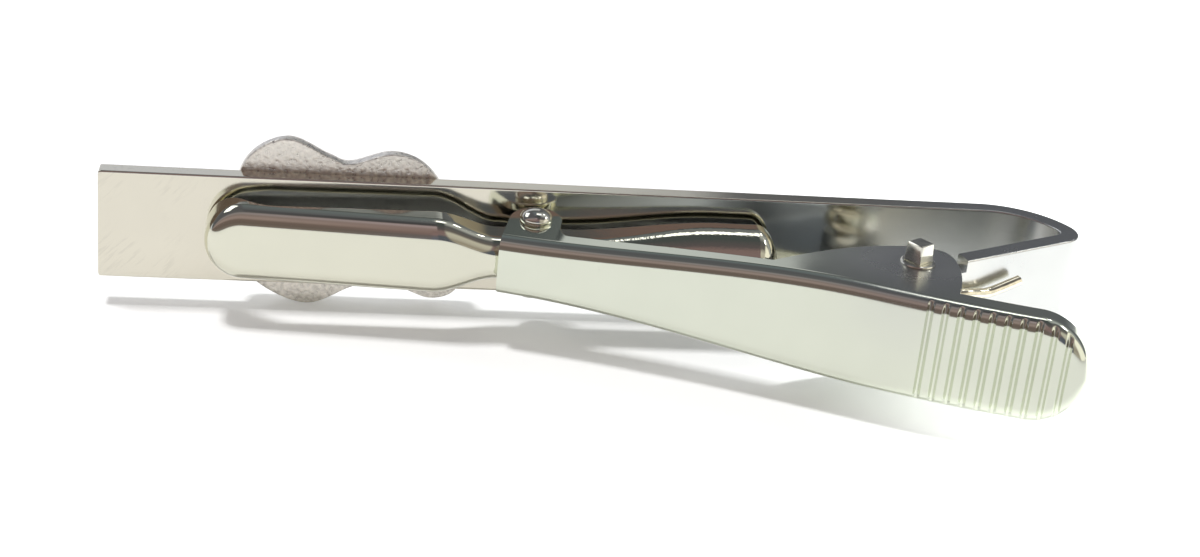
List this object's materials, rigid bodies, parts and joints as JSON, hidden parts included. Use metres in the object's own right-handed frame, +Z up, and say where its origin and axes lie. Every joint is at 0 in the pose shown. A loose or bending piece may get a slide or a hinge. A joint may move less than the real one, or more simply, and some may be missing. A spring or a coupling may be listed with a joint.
{
  "type": "tie clip",
  "caption": "Tie clip: a flat metal bar bent back to a hinge, a sprung pressed lever with a ribbed thumb pad, a swivelling jaw and a lobed ornament.",
  "frame": {"origin": "middle of the clip's length and depth, at the height of the ornament's lowest point", "axes": "+X along the bar from its free end to its bend, +Y from the lever to the bar's front, +Z up across the bar's width"},
  "size_m": [0.054, 0.0174, 0.0098],
  "materials": {
    "polished_plate": "bright nickel plate",
    "pin_metal": "bright, a little dulled by the swaging",
    "spring_wire": "drawn wire, bright",
    "ornament_metal": "plated casting, grainy behind and polished in front"
  },
  "bodies": {
    "bar": {"bar": "polished_plate", "ornament": "ornament_metal", "torsion_spring": "spring_wire"},
    "lever": {"lever": "polished_plate", "hinge_pin": "pin_metal", "jaw_rivet": "pin_metal"},
    "jaw": {"jaw": "polished_plate"}
  },
  "joints": [
    {"name": "lever_hinge", "type": "hinge", "parent": "bar", "child": "lever", "pos_m": [0.01648, -0.00105, 0.00478], "axis": [0, 0, 1], "range_deg": [0, 30], "stiffness_Nm_per_rad": 0.006, "springref_deg": -45.84, "deforming": ["torsion_spring"]},
    {"name": "jaw_swivel", "type": "hinge", "parent": "lever", "child": "jaw", "pos_m": [-0.0034, 0.00498, 0.00478], "axis": [0, 0, 1], "range_deg": [-21, 0]}
  ],
  "couplings": [
    {"joint": "jaw_swivel", "follows": "lever_hinge", "ratio": -0.7}
  ]
}
